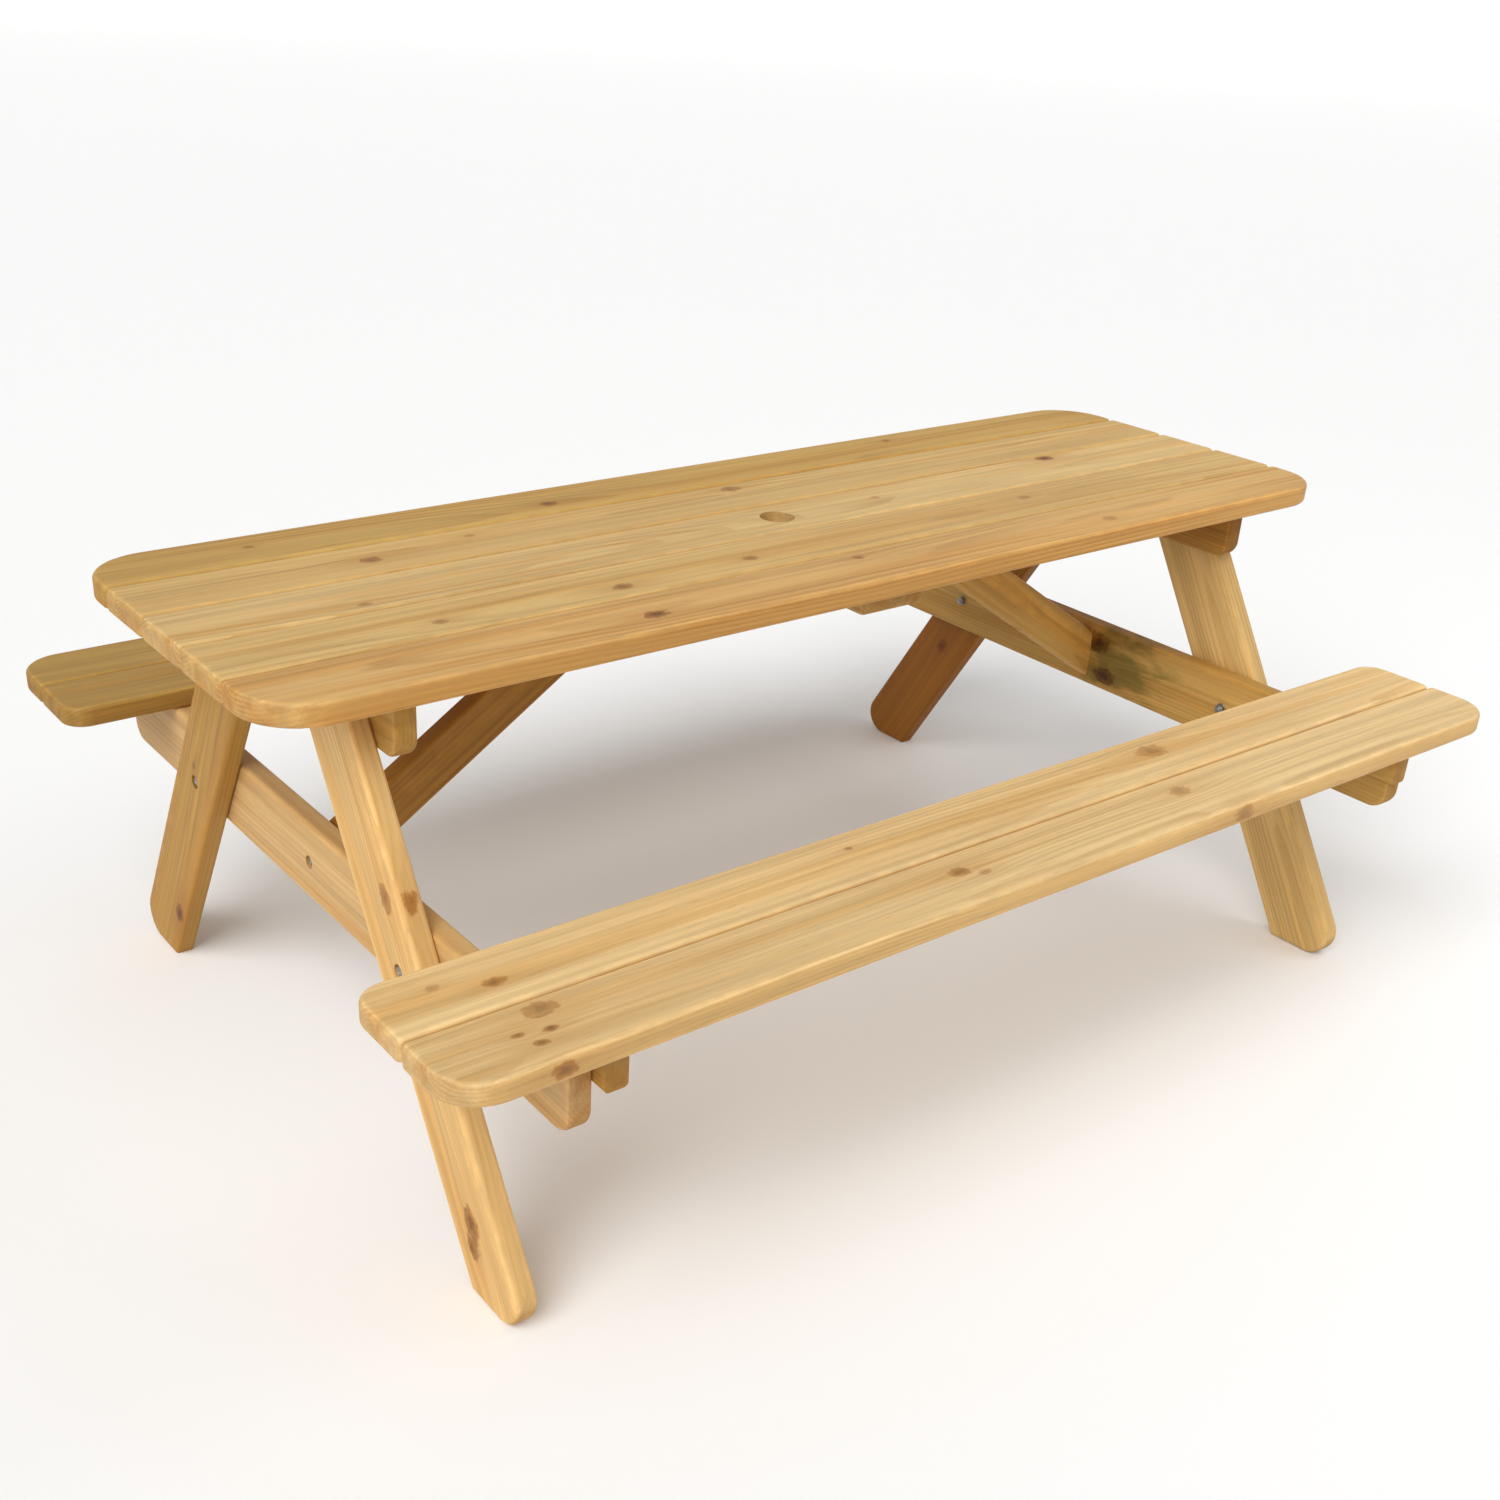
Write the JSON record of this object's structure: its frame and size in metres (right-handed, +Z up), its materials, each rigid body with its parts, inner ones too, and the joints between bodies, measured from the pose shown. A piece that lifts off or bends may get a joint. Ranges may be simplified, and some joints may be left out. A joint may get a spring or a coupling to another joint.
{
  "type": "picnic table",
  "caption": "Rectangular timber picnic table with a slatted top, a parasol hole, bench seats joined to raked A-frame legs, and diagonal braces",
  "frame": {"origin": "on the ground, under the middle of the tabletop and its parasol hole", "axes": "+X along the table's length, +Y across it from the front seat to the rear seat, +Z up"},
  "size_m": [1.8, 1.288, 0.696],
  "materials": {
    "tabletop_pine": "satin",
    "seat_pine": "satin",
    "leg_pine": "satin",
    "bearer_pine": "satin",
    "brace_pine": "satin",
    "batten_pine": "satin",
    "zinc_bolts": "satin",
    "zinc_screws": "satin"
  },
  "bodies": {
    "root": {"tabletop_board_1": "tabletop_pine", "tabletop_board_2": "tabletop_pine", "tabletop_board_3": "tabletop_pine", "tabletop_board_4": "tabletop_pine", "tabletop_board_5": "tabletop_pine", "front_seat_inner_board": "seat_pine", "front_seat_outer_board": "seat_pine", "rear_seat_inner_board": "seat_pine", "rear_seat_outer_board": "seat_pine", "front_left_leg": "leg_pine", "rear_left_leg": "leg_pine", "front_right_leg": "leg_pine", "rear_right_leg": "leg_pine", "left_seat_bearer": "bearer_pine", "left_top_bearer": "bearer_pine", "right_seat_bearer": "bearer_pine", "right_top_bearer": "bearer_pine", "left_brace": "brace_pine", "right_brace": "brace_pine", "front_left_seat_batten": "batten_pine", "rear_left_seat_batten": "batten_pine", "front_right_seat_batten": "batten_pine", "rear_right_seat_batten": "batten_pine", "centre_batten": "batten_pine", "leg_bolts": "zinc_bolts", "leg_bolt_washers": "zinc_bolts", "leg_bolt_nuts": "zinc_bolts", "brace_screws": "zinc_bolts", "top_bearer_screws": "zinc_screws", "centre_batten_screws": "zinc_screws", "brace_head_screws": "zinc_screws", "seat_screws": "zinc_screws", "seat_batten_screws": "zinc_screws"}
  },
  "joints": []
}
